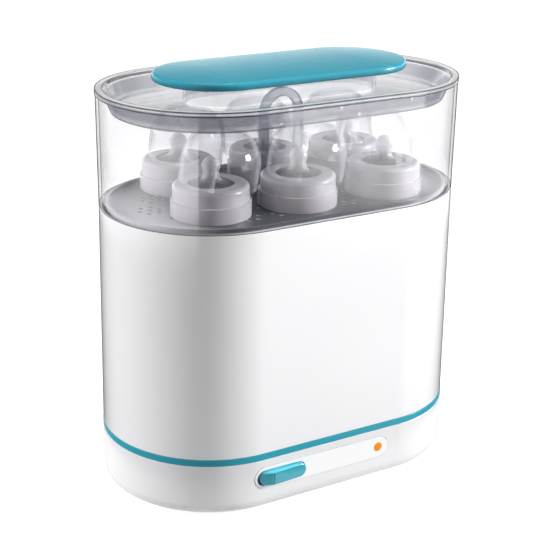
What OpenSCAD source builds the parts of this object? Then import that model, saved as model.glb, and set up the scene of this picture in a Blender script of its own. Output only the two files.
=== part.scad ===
// Electric steam sterilizer for feeding bottles: heated base, two stacked baskets and a lid.
// The plan is an oval with straight sides and round ends.
// Origin: centre of the underside, +Z up, front towards -Y.

/* [Body] */
// Length of the straight sides between the two round ends
straight_len = 128.4; // [110:0.1:150]
// Depth over the accent ring
body_d = 176; // [168:0.5:190]
// Height that the feet lift the base
foot_h = 1.5; // [1:0.1:4]
// Height of the base housing
base_h = 44.6; // [42:0.1:56]
// Height of the accent ring
ring_h = 5.6; // [4:0.1:9]
// Height of the large basket that shows
large_basket_h = 180.8; // [140:0.1:220]
// Height of the small basket that shows
small_basket_h = 87.5; // [86:0.1:110]
// How far the large basket draws in from the accent ring to its foot
basket_step = 0.3; // [0.1:0.1:1]
// How far the large basket draws in from its foot to the seam
basket_draft = 1.2; // [0.2:0.1:2]
// How far the small basket widens from the seam to its rim
rim_draft = 0.5; // [0:0.1:1.5]

/* [Walls and clearances] */
// Wall of the base housing
base_wall = 2.8; // [2.4:0.1:3.4]
// Wall of the large basket
basket_wall = 2.4; // [1.8:0.1:3]
// Wall of the clear small basket
clear_wall = 2.4; // [1.8:0.1:3]
// Clearance where one piece drops into another
fit_gap = 0.3; // [0.2:0.05:0.5]
// Length of the spigots that centre the baskets
spigot_h = 4; // [3:0.1:5]
// Width of the ledges inside the spigots
ledge_w = 4; // [3:0.1:6]
// Thickness of the ledges inside the spigots
ledge_t = 2; // [1.5:0.1:2.5]

/* [Base] */
// Radius of the rounded lower edge
edge_r = 12; // [8:0.5:15]
// Thickness of the accent ring
ring_t = 3.1; // [2.8:0.1:4]
// Depth of the tongue that holds the accent ring
tongue_h = 1.5; // [1:0.1:2]
// Width of the tongue that holds the accent ring
tongue_w = 1; // [0.8:0.1:1.2]
// Space for the controls between the outer wall and the water well
service_gap = 12.4; // [12:0.1:15]
// Depth of the water well
well_depth = 17.6; // [14:0.1:20]
// Diameter of the rubber feet
foot_d = 18; // [12:0.5:24]
// Depth of the recess that holds a foot
foot_recess = 1.2; // [0.8:0.1:1.5]
// Distance of the feet from the middle along the length
foot_x = 100; // [90:1:104]
// Distance of the feet from the middle across the depth
foot_y = 40; // [36:1:44]
// Diameter of the cover screws and clamp screws
screw_d = 3; // [2.5:0.1:3.5]
// Diameter of the screw heads
head_d = 7; // [6:0.1:8]
// Height of the screw heads
head_h = 1.7; // [1.4:0.1:1.8]
// Diameter of the screw bosses
boss_d = 8.4; // [8:0.1:10]
// Length of a screw below its head
screw_len = 11; // [8:0.5:14]
// Distance of the screw bosses in from the wall of the water well
boss_inset = 8; // [7:0.1:9]
// Length of a vent slot in the bottom cover
vent_len = 30; // [16:1:34]
// Width of a vent slot in the bottom cover
vent_w = 3; // [2:0.1:4]
// Number of vent slots in the bottom cover
vents = 7; // [3:2:9]

/* [Heater] */
// Diameter of the hole for the heater in the floor of the well
heater_hole_d = 112; // [104:1:114]
// Thickness of the silicone seal
seal_t = 1.2; // [1:0.1:1.5]
// Width of the seal's two lips
seal_lip = 4; // [3:0.1:5]
// Thickness of the steel heater plate
heater_t = 1.2; // [1:0.1:1.5]
// Depth of the dish in the heater plate
dish_depth = 3.2; // [2:0.1:4]
// Diameter of the heating element's tube
element_d = 7; // [6:0.1:8]
// Diameter of the ring that the element bends round
element_ring_d = 76; // [66:1:84]
// Part of the circle that the element covers
element_arc = 300; // [270:5:320]
// Length of the element's cold ends
element_end = 9; // [5:0.5:9]
// Diameter of the thermostat
thermostat_d = 16; // [12:0.5:20]
// Height of the thermostat
thermostat_h = 11; // [10:0.1:12]
// Thickness of the clamp bar under the heater
clamp_t = 1.4; // [1.2:0.1:1.8]
// Width of the clamp bar
clamp_w = 14; // [12:0.5:18]
// Distance of the clamp's bosses from the middle
clamp_x = 68; // [66:0.5:72]
// Diameter of the thermal fuse
fuse_d = 5; // [4:0.1:6]
// Length of the thermal fuse
fuse_len = 12; // [10:0.5:12]

/* [Controls] */
// Length of the control panel
panel_len = 126; // [120:1:132]
// Height of the control panel
panel_h = 18.5; // [16:0.1:20]
// Place of the control panel's middle along the front
panel_x = -9.1; // [-12:0.1:-7]
// Height of the control panel's middle above the table
panel_z = 30.5; // [29:0.1:31.5]
// Thickness of the control panel
panel_t = 2; // [1.6:0.1:2.2]
// How far the control panel stands proud
panel_proud = 0.3; // [0.2:0.1:0.6]
// Length of the power lever
lever_len = 41.6; // [38:0.1:43]
// Height of the power lever
lever_h = 11.6; // [10:0.1:12.4]
// Place of the power lever's middle along the front
lever_x = -47.6; // [-49:0.1:-46]
// How far the power lever stands proud at its crease
lever_proud = 5; // [4:0.1:6]
// How far the lever's crease lies from its short end
crease_x = 10.3; // [9:0.1:12]
// How far the lever's face falls from the crease to its long end
long_fall = 1.8; // [1:0.1:2.5]
// How far the lever's face falls from the crease to its short end
short_fall = 3.6; // [3:0.1:4]
// Gap above, below and at the long end of the lever
lever_gap = 0.9; // [0.5:0.05:1]
// Gap at the short end of the lever, which it swings into
swing_gap = 1.6; // [1.4:0.1:2]
// Diameter of the lever's pin
pin_d = 3; // [2.4:0.1:3.2]
// Wall round the lever's pin
eye_wall = 2; // [1.6:0.1:2.4]
// Thickness of the lugs that hold the pin
lug_t = 1.8; // [1.4:0.1:2.2]
// Clearance of the lever's eye on its pin
pin_gap = 0.1; // [0.05:0.01:0.1]
// Clearance of the lever's eye between its lugs
run_gap = 0.2; // [0.15:0.05:0.3]
// Diameter of the indicator lens
lens_d = 6.8; // [5:0.1:9]
// Place of the indicator lens along the front
lens_x = 44.3; // [40:0.1:46]
// Diameter of the cord gland's bore
gland_bore_d = 6.8; // [5:0.1:8]
// Wall of the cord gland's neck
gland_wall = 2.4; // [1.8:0.1:3]
// Place of the cord gland along the back
gland_x = 52; // [40:1:58]
// Height of the cord gland
gland_z = 22; // [21:0.5:26]

/* [Racks] */
// Thickness of the bottle grid
grid_t = 2.5; // [2:0.1:3]
// Width of a slot in the bottle grid
slot_w = 9; // [6:0.5:10]
// Width of a bar between the slots
bar_w = 6; // [4:0.5:8]
// Thickness of the plate in the small basket
plate_t = 2.4; // [2:0.1:3]
// Height of the plate's raised rim
plate_rim_h = 3; // [2:0.1:4]
// Width of the plate's raised rim
plate_rim_w = 2.4; // [1.8:0.1:3]
// Diameter of a steam hole in the plate
hole_d = 4; // [3:0.1:5]
// Distance of a rosette's outer holes from its middle
rosette_r = 8.5; // [7:0.1:9.5]
// Distance between the rosettes of holes
rosette_pitch = 29; // [26:0.5:34]
// Width over the plate's arched handle
arch_w = 38.5; // [32:0.5:40]
// Width of the handle's strap
strap_w = 7; // [5:0.1:8]
// Depth of the handle's strap
strap_d = 6; // [4:0.1:6]
// Diameter of the pegs that hold the handle
peg_d = 4.8; // [4:0.1:5]

/* [Bottle tops] */
// Diameter of a screw ring's lower band
ring_d = 62; // [58:0.5:63]
// Height of the lower band
band_h = 12.5; // [8:0.1:16]
// Diameter of a screw ring's upper band
collar_d = 59; // [56:0.5:59]
// Height of a screw ring
ring_tall = 25; // [21:0.1:25]
// Radius of a screw ring's rounded top edge
ring_edge = 3.5; // [2:0.1:5]
// Diameter of the opening in a screw ring
mouth_d = 36; // [30:0.5:38]
// Thickness of a screw ring's top
ring_top_t = 2.5; // [2:0.1:3]
// Wall of a screw ring's collar
ring_wall = 2.5; // [2:0.1:3]
// Height of a teat above its ring
teat_h = 20; // [16:0.5:24]
// Diameter of a teat's tip
tip_d = 14; // [12:0.5:16]
// Diameter of a teat's neck
neck_d = 11.7; // [10:0.1:12]
// Radius of a teat's flared shoulder
flare_r = 8.5; // [6:0.1:9]
// Wall of a teat
teat_wall = 1.8; // [1.4:0.1:2.2]
// Diameter of a dome cap at its rim
cap_d = 60; // [58:0.5:61]
// Height of a dome cap
cap_h = 41; // [36:0.5:41]
// Height of the straight part of a dome cap's wall
cap_straight = 18; // [12:0.5:20]
// Height that the dome would have if it weren't cut flat
dome_rise = 28.3; // [27:0.1:34]
// Wall of a dome cap
cap_wall = 1.4; // [1.2:0.1:1.6]
// How far a dome cap has slipped off the middle of its ring
cap_shift = 5; // [4:0.1:6]
// Lean of a dome cap that has slipped
cap_tilt = 8; // [6:0.5:9]

/* [Lid] */
// Wall of the lid
lid_wall = 2.2; // [1.8:0.1:2.6]
// Thickness of the lid's flange
flange_t = 3.7; // [2.4:0.1:4.5]
// How far the flange stands out past the small basket
flange_out = 0.5; // [0.2:0.1:1]
// Clearance between the top of the lid's skirt and the basket
skirt_gap = 2.6; // [2:0.1:3.5]
// Depth of the lid's skirt below its flange
skirt_h = 14; // [10:0.1:16]
// How far the skirt slants inwards
skirt_slant = 6.5; // [4:0.5:12]
// How far the lid's floor rises towards the middle
floor_rise = 4.6; // [3:0.1:6]
// Half width of the level middle of the lid's floor
level_r = 18; // [10:0.5:22]
// Length of the hollow pedestal under the handle
pedestal_len = 168.2; // [155:0.1:172]
// Width of the hollow pedestal
pedestal_d = 55; // [48:0.5:60]
// Height of the handle's underside above the flange
handle_lift = 5.8; // [5:0.1:10]
// Length of the lid handle
handle_len = 216.4; // [195:0.1:230]
// Width of the lid handle
handle_d = 95.2; // [85:0.1:110]
// Thickness of the lid handle at its edge
handle_t = 6; // [5:0.1:8]
// How far the top of the lid handle is crowned
crown = 1.6; // [0.5:0.1:3]
// Radius of the lid handle's rounded edge
handle_edge = 2.5; // [1.5:0.1:3]
// Width of the lip round the handle's underside
lip_w = 3; // [2:0.1:5]
// Depth of the recess in the handle's underside
recess_h = 2.2; // [1:0.1:2.8]
// Width of a locating rib on the skirt
rib_w = 2; // [1.5:0.1:3]
// Height of a locating rib on the skirt
rib_h = 4; // [3:0.1:4.5]

/* [Hidden] */
$fn = 96;
overlap = 0.5;
cut = 1;
arc_steps = 8;

r_body = body_d / 2;
r_inner = r_body - base_wall;
deck_z = foot_h + base_h;
ring_top = deck_z + ring_h;
seam_z = ring_top + large_basket_h;
rim_z = seam_z + small_basket_h;

well_r = r_inner - service_gap - base_wall;
well_out = well_r + base_wall;
well_z = deck_z - well_depth;
well_under = well_z - base_wall;
cover_top = foot_h + base_wall;
cover_r = r_body - edge_r - fit_gap;
boss_r = well_out - boss_inset;
boss_spots = concat(
    [for (side = [-1, 1]) [side * (straight_len / 2 + boss_r), 0]],
    [for (x = [-1, 1], y = [-1, 1]) [x * straight_len / 2, y * boss_r]]);
foot_spots = [for (x = [-1, 1], y = [-1, 1]) [x * foot_x, y * foot_y]];
vent_pitch = 2 * vent_w + 2;
tongue_r = r_body - base_wall / 2;
tongue_gap = 0.1;

heater_hole_r = heater_hole_d / 2;
flange_z = well_z + seal_t;
dish_z = flange_z - dish_depth;
dish_slope = 2;
dish_r = heater_hole_r - 2 * seal_t - dish_slope;
heater_r = heater_hole_r + seal_lip;
clamp_z = dish_z - thermostat_h;
braze_flat = 0.4;
element_z = dish_z - element_d / 2 + braze_flat;
fuse_x = 20;

pocket_r = r_body + panel_proud - panel_t;
slot_len = lever_len + swing_gap + lever_gap;
slot_x = lever_x + (lever_gap - swing_gap) / 2;
slot_h = lever_h + 2 * lever_gap;
lever_left = lever_x - lever_len / 2;
lever_right = lever_x + lever_len / 2;
pivot_x = lever_left + crease_x;
eye_r = pin_d / 2 + pin_gap + eye_wall;
lever_inset = 2;
lever_back = r_inner - lever_inset;
eye_inset = 1.5;
pivot_y = -(lever_back - eye_inset - eye_r / 2);
lug_low = panel_z - lever_h / 2 - run_gap - lug_t;
lug_high = panel_z + lever_h / 2 + run_gap;
switch_inset = 11;
switch_x = lever_right - switch_inset;
plunger_len = 3.2;
lens_flange = 1.6;
gland_neck_r = gland_bore_d / 2 + gland_wall;
gland_flange_w = 2.6;
gland_flange_r = gland_neck_r + gland_flange_w;

r_foot = r_body - basket_step;
r_seam = r_foot - basket_draft;
r_rim = r_seam + rim_draft;
spigot_r = r_body - ring_t - fit_gap;
spigot_z = ring_top - spigot_h;
grid_z = spigot_z + ledge_t;
grid_r = spigot_r - basket_wall - fit_gap;
grid_border = 7;
slot_end = grid_r - grid_border;
bars = floor((straight_len / 2 + slot_end) / (slot_w + bar_w));

neck_r = r_seam - basket_wall - fit_gap;
neck_z = seam_z - spigot_h;
plate_z = neck_z + ledge_t;
plate_top = plate_z + plate_t;
plate_r = neck_r - clear_wall - fit_gap;
arch_r = arch_w / 2;

lid_top = rim_z + flange_t;
flange_r = r_rim + flange_out;
skirt_r = r_rim - clear_wall - skirt_gap;
skirt_low_r = skirt_r - skirt_slant;
skirt_low_z = rim_z - skirt_h;
skirt_shift = lid_wall * sqrt(skirt_h * skirt_h + skirt_slant * skirt_slant) / skirt_h;
skirt_pitch = skirt_h / skirt_slant;
floor_pitch = floor_rise / (skirt_low_r - level_r);
corner_r = skirt_low_r - (skirt_shift * skirt_pitch - lid_wall) / (skirt_pitch + floor_pitch);
corner_z = skirt_low_z + lid_wall + (skirt_low_r - corner_r) * floor_pitch;
floor_z = skirt_low_z + floor_rise;
pedestal_r = pedestal_d / 2;
pedestal_run = pedestal_len - pedestal_d;
handle_z = lid_top + handle_lift;
handle_r = handle_d / 2;
handle_run = handle_len - handle_d;
pad_r = pedestal_r + lip_w;
stake_d = 6;
stake_x = pedestal_run / 2;
stake_y = pedestal_r - lid_wall - stake_d;
arch_clear = 10;
arch_top = handle_z - lid_wall - arch_clear;

// Where the loose bottle tops stand on the plate, the front row first
tops = [[-79.4, -29.6], [-5.7, -35.6], [74.6, -36.7], [-67.5, 47], [12.2, 45.1], [85.5, 37.5]];
lean_right = -29;
lean_left = lean_right + 180;
leans = [lean_right, lean_right, lean_left, lean_right, lean_left, lean_left];
collar_r = collar_d / 2;
teat_flange_r = collar_r - ring_wall - 2 * fit_gap;
teat_top = ring_tall + teat_h;
cap_clear = 0.25;

// Height of a screw ring's upper surface at distance d from its axis
function ring_height(d) =
    d <= collar_r - ring_edge ? ring_tall
    : d <= collar_r
        ? ring_tall - ring_edge + sqrt(pow(ring_edge, 2) - pow(d - collar_r + ring_edge, 2))
    : d <= ring_d / 2 ? band_h : 0;

// Height at which a leaning rim of radius r first meets the ring below it
function rim_seat(r) = max([for (a = [0 : 3 : 180])
    ring_height(norm([cap_shift + r * cos(a) * cos(cap_tilt), r * sin(a)]))
        + r * cos(a) * sin(cap_tilt)]);

cap_seat = max(rim_seat(cap_d / 2), rim_seat(cap_d / 2 - cap_wall)) + cap_clear;

// Points of an arc round a centre
function arc(centre, rx, ry, from, to) = [for (i = [0 : arc_steps])
    let (a = from + (to - from) * i / arc_steps) centre + [rx * cos(a), ry * sin(a)]];

top_numbers = [1 : len(tops)];

white = [0.95, 0.95, 0.96];
teal = [0.16, 0.62, 0.70];
clear = [0.85, 0.87, 0.90, 0.35];
steel = [0.72, 0.72, 0.74];
rubber = [0.20, 0.20, 0.21];

// Flat oval with straight sides of length run and ends of radius r
module oval(run, r) {
    square([run, 2 * r], center = true);
    for (side = [-1, 1]) translate([side * run / 2, 0]) circle(r);
}

module oval_plate(run, r, h) linear_extrude(h) oval(run, r);

// Carries a radius and height profile round an oval plan
module oval_sweep(run) {
    for (turn = [0, 180]) rotate([0, 0, turn]) translate([run / 2, 0, 0]) {
        rotate([0, 0, -90]) rotate_extrude(angle = 180) children();
        rotate([90, 0, -90]) linear_extrude(run) children();
    }
}

// Profile of a solid with a rounded lower edge
module rounded_foot(r, low, high, edge) {
    translate([0, low]) square([r - edge, high - low]);
    translate([0, low + edge]) square([r, high - low - edge]);
    translate([r - edge, low + edge]) circle(edge);
}

// Upright oval on the front, reaching from y = -near out to y = -far
module front_oval(len, h, x, near, far) {
    translate([x, -near, panel_z]) rotate([90, 0, 0])
        linear_extrude(far - near) oval(len - h, h / 2);
}

// Curved skin of the control panel, grown by grow at its edge, of thickness t
module panel_skin(grow, t) {
    intersection() {
        front_oval(panel_len + 2 * grow, panel_h + 2 * grow, panel_x, r_inner - cut, r_body + cut);
        oval_sweep(straight_len) translate([pocket_r, foot_h]) square([t, base_h]);
    }
}

// Holes for the power lever and the indicator lens
module control_holes() {
    front_oval(slot_len, slot_h, slot_x, r_inner - cut, r_body + cut);
    translate([lens_x, 0, panel_z]) rotate([90, 0, 0])
        cylinder(d = lens_d + 2 * tongue_gap, h = r_body + cut);
}

module base_profile() {
    difference() {
        rounded_foot(r_body, foot_h, deck_z, edge_r);
        difference() {
            rounded_foot(r_inner, cover_top, deck_z - base_wall, edge_r - base_wall);
            translate([0, well_under]) square([well_out, deck_z]);
        }
        translate([0, well_z]) square([well_r, deck_z]);
        square([r_body - edge_r, cover_top]);
        translate([tongue_r - tongue_w / 2 - tongue_gap, deck_z - tongue_h - tongue_gap])
            square([tongue_w + 2 * tongue_gap, tongue_h + cut]);
    }
}

module pin_lug(z) {
    translate([pivot_x - eye_r, -r_inner - overlap, z])
        cube([2 * eye_r, r_inner + overlap + pivot_y + eye_r, lug_t]);
}

module base_housing() {
    color(white) difference() {
        union() {
            oval_sweep(straight_len) base_profile();
            for (spot = boss_spots) translate([spot[0], spot[1], cover_top])
                cylinder(d = boss_d, h = well_under - cover_top + overlap);
            for (side = [-1, 1]) translate([side * clamp_x, 0, clamp_z])
                cylinder(d = boss_d, h = well_under - clamp_z + overlap);
            for (z = [lug_low, lug_high]) pin_lug(z);
        }
        translate([0, 0, well_under - cut]) cylinder(r = heater_hole_r, h = base_wall + 2 * cut);
        for (spot = boss_spots) translate([spot[0], spot[1], cover_top - cut])
            cylinder(d = screw_d + 2 * tongue_gap, h = screw_len + cut);
        for (side = [-1, 1]) translate([side * clamp_x, 0, clamp_z - cut])
            cylinder(d = screw_d + 2 * tongue_gap, h = screw_len + cut);
        panel_skin(tongue_gap, panel_t + cut);
        control_holes();
        translate([pivot_x, pivot_y, lug_low - cut])
            cylinder(d = pin_d + tongue_gap, h = lug_high + lug_t - lug_low + 2 * cut);
        translate([gland_x, well_out + cut, gland_z]) rotate([-90, 0, 0])
            cylinder(r = gland_neck_r + tongue_gap, h = r_body);
    }
}

module bottom_cover() {
    color(white) difference() {
        translate([0, 0, foot_h]) oval_plate(straight_len, cover_r, base_wall);
        for (spot = boss_spots) translate([spot[0], spot[1], 0]) {
            cylinder(d = screw_d + 2 * fit_gap, h = cover_top + cut);
            cylinder(d = head_d + 2 * fit_gap, h = foot_h + head_h);
        }
        for (spot = foot_spots) translate([spot[0], spot[1], 0])
            cylinder(d = foot_d + 2 * fit_gap, h = foot_h + foot_recess);
        for (i = [-(vents - 1) / 2 : (vents - 1) / 2])
            translate([i * vent_pitch, 0, 0]) rotate([0, 0, 90])
                oval_plate(vent_len - vent_w, vent_w / 2, cover_top + cut);
    }
}

module rubber_feet() {
    chamfer = 0.8;
    color(rubber) for (spot = foot_spots) translate([spot[0], spot[1], 0]) {
        cylinder(d1 = foot_d - 2 * chamfer, d2 = foot_d, h = chamfer);
        translate([0, 0, chamfer]) cylinder(d = foot_d, h = foot_h + foot_recess - chamfer);
    }
}

module screw(len) {
    cylinder(d = head_d, h = head_h);
    translate([0, 0, head_h - overlap]) cylinder(d = screw_d, h = len + overlap);
}

module cover_screws() {
    color(steel) for (spot = boss_spots) translate([spot[0], spot[1], foot_h]) screw(screw_len);
}

module accent_ring() {
    color(teal) oval_sweep(straight_len) {
        translate([r_body - ring_t, deck_z]) square([ring_t, ring_h]);
        translate([tongue_r - tongue_w / 2, deck_z - tongue_h]) square([tongue_w, tongue_h + overlap]);
    }
}

module heater_plate() {
    color(steel) rotate_extrude() polygon([
        [0, dish_z], [dish_r, dish_z], [dish_r + dish_slope, flange_z], [heater_r, flange_z],
        [heater_r, flange_z + heater_t], [dish_r + dish_slope / 2, flange_z + heater_t],
        [dish_r - dish_slope / 2, dish_z + heater_t], [0, dish_z + heater_t]]);
}

module heater_seal() {
    inside = heater_hole_r - seal_t - tongue_gap;
    color(rubber) rotate_extrude() difference() {
        translate([inside, well_under - seal_t])
            square([heater_r - inside, base_wall + 2 * seal_t]);
        translate([heater_hole_r - tongue_gap, well_under]) square([seal_lip + cut, base_wall]);
    }
}

module heating_element() {
    ring_r = element_ring_d / 2;
    end_turn = 6;
    end_d = element_d / 2;
    color(steel) {
        rotate([0, 0, 90 - element_arc / 2]) rotate_extrude(angle = element_arc) difference() {
            translate([ring_r, element_z]) circle(d = element_d);
            translate([ring_r - element_d, dish_z]) square(2 * element_d);
        }
        for (side = [-1, 1]) rotate([0, 0, 90 + side * (element_arc / 2 - end_turn)])
            translate([ring_r, 0, element_z - element_end]) cylinder(d = end_d, h = element_end);
    }
}

module heater_clamp() {
    color(steel) difference() {
        translate([0, 0, clamp_z - clamp_t]) oval_plate(2 * clamp_x, clamp_w / 2, clamp_t);
        for (side = [-1, 1]) translate([side * clamp_x, 0, clamp_z - clamp_t - cut])
            cylinder(d = screw_d + 2 * fit_gap, h = clamp_t + 2 * cut);
    }
}

module clamp_screws() {
    color(steel) for (side = [-1, 1])
        translate([side * clamp_x, 0, clamp_z - clamp_t - head_h]) screw(screw_len - 2 * clamp_t);
}

module thermostat() {
    body_part = 0.55;
    body_d_part = 0.8;
    color(steel) translate([0, 0, clamp_z]) {
        cylinder(d = thermostat_d * body_d_part, h = thermostat_h);
        translate([0, 0, thermostat_h * body_part])
            cylinder(d = thermostat_d, h = thermostat_h * (1 - body_part));
    }
}

module thermal_fuse() {
    saddle_t = 1;
    axis_z = saddle_t + fuse_d / 2;
    color(white) translate([fuse_x, 0, clamp_z]) {
        translate([0, fuse_len / 2, axis_z]) rotate([90, 0, 0]) cylinder(d = fuse_d, h = fuse_len);
        translate([-fuse_d / 2, -fuse_len / 4, 0]) cube([fuse_d, fuse_len / 2, axis_z]);
    }
}

module control_panel() {
    color(white) difference() {
        panel_skin(0, panel_t);
        control_holes();
    }
}

module power_lever() {
    mark_w = 0.6;
    front = r_body + lever_proud;
    color(teal) difference() {
        union() {
            intersection() {
                front_oval(lever_len, lever_h, lever_x, lever_back - cut, front + cut);
                translate([0, 0, panel_z - lever_h]) linear_extrude(2 * lever_h) polygon([
                    [lever_left, -lever_back], [lever_left, -front + short_fall], [pivot_x, -front],
                    [lever_right, -front + long_fall], [lever_right, -lever_back]]);
            }
            translate([pivot_x, pivot_y, panel_z - lever_h / 2]) cylinder(r = eye_r, h = lever_h);
            translate([pivot_x - eye_r, -lever_back - overlap, panel_z - lever_h / 2])
                cube([2 * eye_r, lever_back + overlap + pivot_y, lever_h]);
        }
        translate([pivot_x, pivot_y, panel_z - lever_h])
            cylinder(d = pin_d + 2 * pin_gap, h = 2 * lever_h);
        translate([pivot_x - mark_w / 2, -front - cut, panel_z - lever_h / 3])
            cube([mark_w, cut + mark_w, lever_h * 2 / 3]);
    }
}

module lever_pin() {
    color(steel) translate([pivot_x, pivot_y, lug_low])
        cylinder(d = pin_d, h = lug_high + lug_t - lug_low);
}

module switch_block() {
    face = lever_back - plunger_len;
    plunger_d = 3.2;
    block_w = 16;
    color(rubber) {
        translate([switch_x - block_w / 2, -face, panel_z - lever_h / 2])
            cube([block_w, face - well_out, lever_h]);
        translate([switch_x, -face + overlap, panel_z]) rotate([90, 0, 0])
            cylinder(d = plunger_d, h = lever_back - face + overlap - fit_gap);
    }
}

module indicator_lens() {
    color("orange") translate([lens_x, 0, panel_z]) rotate([90, 0, 0]) {
        translate([0, 0, r_inner - lens_flange]) cylinder(d = lens_d + 2 * lens_flange, h = lens_flange);
        translate([0, 0, r_inner - overlap])
            cylinder(d = lens_d, h = base_wall + overlap + panel_proud);
    }
}

module indicator_lamp() {
    holder = 9;
    bulb_d = 5;
    color("gold") translate([lens_x, 0, panel_z]) rotate([90, 0, 0])
        translate([0, 0, well_out]) {
            cylinder(d = bulb_d, h = r_inner - lens_flange - well_out);
            translate([-holder / 2, -holder / 2, 0]) cube([holder, holder, service_gap / 3]);
        }
}

module terminal_block() {
    ways = 3;
    way_pitch = 6;
    hole = 3.4;
    block = [(ways + 1) * way_pitch, service_gap * 2 / 3, 2 * way_pitch];
    color(white) translate([gland_x - gland_flange_r - block[0], well_out, gland_z - way_pitch])
        difference() {
            cube(block);
            for (i = [1 : ways]) translate([i * way_pitch, block[1] / 2, -cut])
                cylinder(d = hole, h = block[2] + 2 * cut);
        }
}

module cord_gland() {
    flange = 2.4;
    color(rubber) translate([gland_x, 0, gland_z]) rotate([-90, 0, 0]) difference() {
        union() {
            translate([0, 0, r_inner - flange]) {
                cylinder(r = gland_neck_r + gland_flange_w / 2, h = flange);
                cylinder(r = gland_neck_r, h = flange + base_wall + lever_proud);
            }
            translate([0, 0, r_body]) cylinder(r = gland_flange_r, h = flange);
        }
        translate([0, 0, r_inner - 2 * flange]) cylinder(d = gland_bore_d, h = r_body);
    }
}

module large_basket() {
    inside = spigot_r - basket_wall;
    color(white) oval_sweep(straight_len) polygon([
        [inside - ledge_w, spigot_z], [spigot_r, spigot_z], [spigot_r, ring_top], [r_foot, ring_top],
        [r_seam, seam_z], [r_seam - basket_wall, seam_z],
        [r_foot - basket_wall, ring_top + 2 * basket_wall],
        [inside, ring_top + basket_wall], [inside, grid_z], [inside - ledge_w, grid_z]]);
}

module bottle_grid() {
    spine_w = 12;
    color(white) translate([0, 0, grid_z]) linear_extrude(grid_t) difference() {
        oval(straight_len, grid_r);
        intersection() {
            oval(straight_len, slot_end);
            for (i = [-bars : bars], side = [-1, 1])
                translate([i * (slot_w + bar_w), side * (spine_w + grid_r) / 2])
                    square([slot_w, grid_r], center = true);
        }
    }
}

module small_basket() {
    inside = neck_r - clear_wall;
    color(clear) oval_sweep(straight_len) polygon([
        [inside - ledge_w, neck_z], [neck_r, neck_z], [neck_r, seam_z], [r_seam, seam_z], [r_rim, rim_z],
        [r_rim - clear_wall, rim_z], [r_seam - clear_wall, seam_z + 2 * clear_wall],
        [inside, seam_z + clear_wall], [inside, plate_z], [inside - ledge_w, plate_z]]);
}

// Middles of the rosettes of steam holes, clear of the rim and of the handle's legs
row_pitch = rosette_pitch * sqrt(3) / 2;
rosette_rows = [for (j = [-2 : 2], i = [-6 : 6])
    [(i + (j % 2 == 0 ? 0 : 0.5)) * rosette_pitch, j * row_pitch]];
rosette_limit = plate_r - plate_rim_w - rosette_r - hole_d;
function past_end(p) = norm([max(abs(p[0]) - straight_len / 2, 0), p[1]]);
rosettes = [for (p = rosette_rows)
    if (past_end(p) < rosette_limit && (p[1] != 0 || abs(p[0]) > arch_w)) p];

module basket_plate() {
    color([0.70, 0.71, 0.74]) {
        translate([0, 0, plate_z]) linear_extrude(plate_t) difference() {
            oval(straight_len, plate_r);
            for (p = rosettes) translate(p) {
                circle(d = hole_d);
                for (turn = [0 : 60 : 300]) rotate(turn) translate([rosette_r, 0]) circle(d = hole_d);
            }
            for (side = [-1, 1]) translate([side * (arch_r - strap_w / 2), 0])
                circle(d = peg_d + 2 * tongue_gap);
        }
        oval_sweep(straight_len) translate([plate_r - plate_rim_w, plate_top - overlap])
            square([plate_rim_w, plate_rim_h + overlap]);
    }
}

module plate_handle() {
    spring_z = arch_top - arch_r;
    color(clear) {
        translate([0, strap_d / 2, 0]) rotate([90, 0, 0]) linear_extrude(strap_d) difference() {
            union() {
                translate([0, spring_z]) circle(arch_r);
                translate([-arch_r, plate_top]) square([arch_w, spring_z - plate_top]);
            }
            translate([0, spring_z]) circle(arch_r - strap_w);
            translate([-arch_r + strap_w, plate_top - cut])
                square([arch_w - 2 * strap_w, spring_z - plate_top + cut]);
        }
        for (side = [-1, 1]) translate([side * (arch_r - strap_w / 2), 0, plate_z])
            cylinder(d = peg_d, h = plate_t + overlap);
    }
}

module at_top(i) {
    translate([tops[i - 1][0], tops[i - 1][1], plate_top]) children();
}

module screw_ring(i) {
    color(white) at_top(i) rotate_extrude() difference() {
        union() {
            square([ring_d / 2, band_h]);
            square([collar_r, ring_tall - ring_edge]);
            square([collar_r - ring_edge, ring_tall]);
            translate([collar_r - ring_edge, ring_tall - ring_edge]) circle(ring_edge);
        }
        translate([0, -cut]) square([collar_r - ring_wall, ring_tall - ring_top_t + cut]);
        square([mouth_d / 2, ring_tall + cut]);
    }
}

module teat(i) {
    tip_r = tip_d / 2;
    neck_r = neck_d / 2;
    shelf = ring_tall - ring_top_t;
    saddle_r = mouth_d / 2 - fit_gap;
    flare_low = ring_tall - overlap;
    inner_r = neck_r - teat_wall;
    flange_low = shelf - teat_wall;
    color([0.93, 0.93, 0.95, 0.5]) at_top(i) rotate_extrude() polygon(concat(
        [[inner_r + flare_r, flange_low], [teat_flange_r, flange_low], [teat_flange_r, shelf],
         [saddle_r, shelf], [saddle_r, flare_low]],
        arc([neck_r + flare_r, flare_low + flare_r], flare_r, flare_r, 270, 180),
        arc([0, teat_top - tip_r], tip_r, tip_r, 0, 90),
        arc([0, teat_top - tip_r], inner_r, tip_r - teat_wall, 90, 0),
        [[inner_r, flare_low + flare_r]]));
}

module dome_cap(i) {
    rim_r = cap_d / 2;
    top_angle = asin((cap_h - cap_straight) / dome_rise);
    inner_angle = asin((cap_h - cap_straight - cap_wall) / (dome_rise - cap_wall));
    color(clear) at_top(i) rotate([0, 0, leans[i - 1]])
        translate([cap_shift, 0, cap_seat]) rotate([0, cap_tilt, 0])
            rotate_extrude() polygon(concat(
                [[rim_r - cap_wall, 0], [rim_r, 0]],
                arc([0, cap_straight], rim_r, dome_rise, 0, top_angle),
                [[0, cap_h], [0, cap_h - cap_wall]],
                arc([0, cap_straight], rim_r - cap_wall, dome_rise - cap_wall, inner_angle, 0)));
}

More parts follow.
